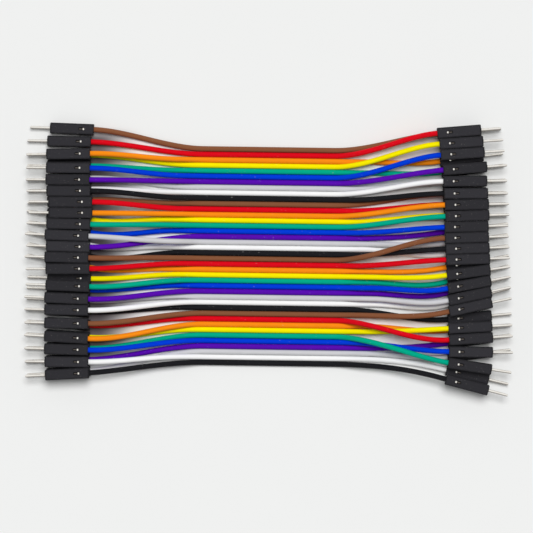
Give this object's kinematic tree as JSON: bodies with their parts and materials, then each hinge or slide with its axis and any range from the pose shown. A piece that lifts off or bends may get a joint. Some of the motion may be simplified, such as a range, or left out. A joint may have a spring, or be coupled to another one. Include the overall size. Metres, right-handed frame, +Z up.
{
  "type": "ribbon of breadboard jumper wires",
  "caption": "Flat ribbon of coloured insulated jumper leads, bonded side by side in the middle and fanned at both ends into stacked black pin plugs, for linking points on a breadboard.",
  "frame": {"origin": "middle of the housings and pins in plan, on the surface that the lower housings rest on", "axes": "+X along the leads from the left plugs to the right plugs, +Y across the ribbon towards the first brown lead, +Z up"},
  "size_m": [0.1138, 0.0638, 0.0052],
  "materials": {
    "brown_insulation": "soft brown insulation with a satin gloss",
    "red_insulation": "soft red insulation with a satin gloss",
    "orange_insulation": "soft orange insulation with a satin gloss",
    "yellow_insulation": "soft yellow insulation with a satin gloss",
    "green_insulation": "soft green insulation with a satin gloss",
    "blue_insulation": "soft blue insulation with a satin gloss",
    "purple_insulation": "soft purple insulation with a satin gloss",
    "grey_insulation": "soft grey insulation with a satin gloss",
    "white_insulation": "soft white insulation with a satin gloss",
    "black_insulation": "soft black insulation with a satin gloss",
    "housing": "matt charcoal moulded plastic",
    "contact_metal": "plain nickel-plated sheet, rolled into pins, satin"
  },
  "bodies": {
    "root": {"housings_left_01": "housing", "housings_left_02": "housing", "housings_left_03": "housing", "housings_left_04": "housing", "housings_left_05": "housing", "housings_left_06": "housing", "housings_left_07": "housing", "housings_left_08": "housing", "housings_left_09": "housing", "housings_left_10": "housing", "housings_right_01": "housing", "housings_right_02": "housing", "housings_right_03": "housing", "housings_right_04": "housing", "housings_right_05": "housing", "housings_right_06": "housing", "housings_right_07": "housing", "housings_right_08": "housing", "housings_right_09": "housing", "housings_right_10": "housing", "wire_01_brown": "brown_insulation", "wire_02_red": "red_insulation", "wire_03_orange": "orange_insulation", "wire_04_yellow": "yellow_insulation", "wire_05_green": "green_insulation", "wire_06_blue": "blue_insulation", "wire_07_purple": "purple_insulation", "wire_08_grey": "grey_insulation", "wire_09_white": "white_insulation", "wire_10_black": "black_insulation", "wire_11_brown": "brown_insulation", "wire_12_red": "red_insulation", "wire_13_orange": "orange_insulation", "wire_14_yellow": "yellow_insulation", "wire_15_green": "green_insulation", "wire_16_blue": "blue_insulation", "wire_17_purple": "purple_insulation", "wire_18_grey": "grey_insulation", "wire_19_white": "white_insulation", "wire_20_black": "black_insulation", "wire_21_brown": "brown_insulation", "wire_22_red": "red_insulation", "wire_23_orange": "orange_insulation", "wire_24_yellow": "yellow_insulation", "wire_25_green": "green_insulation", "wire_26_blue": "blue_insulation", "wire_27_purple": "purple_insulation", "wire_28_grey": "grey_insulation", "wire_29_white": "white_insulation", "wire_30_black": "black_insulation", "wire_31_brown": "brown_insulation", "wire_32_red": "red_insulation", "wire_33_orange": "orange_insulation", "wire_34_yellow": "yellow_insulation", "wire_35_green": "green_insulation", "wire_36_blue": "blue_insulation", "wire_37_purple": "purple_insulation", "wire_38_grey": "grey_insulation", "wire_39_white": "white_insulation", "wire_40_black": "black_insulation"}
  },
  "joints": []
}
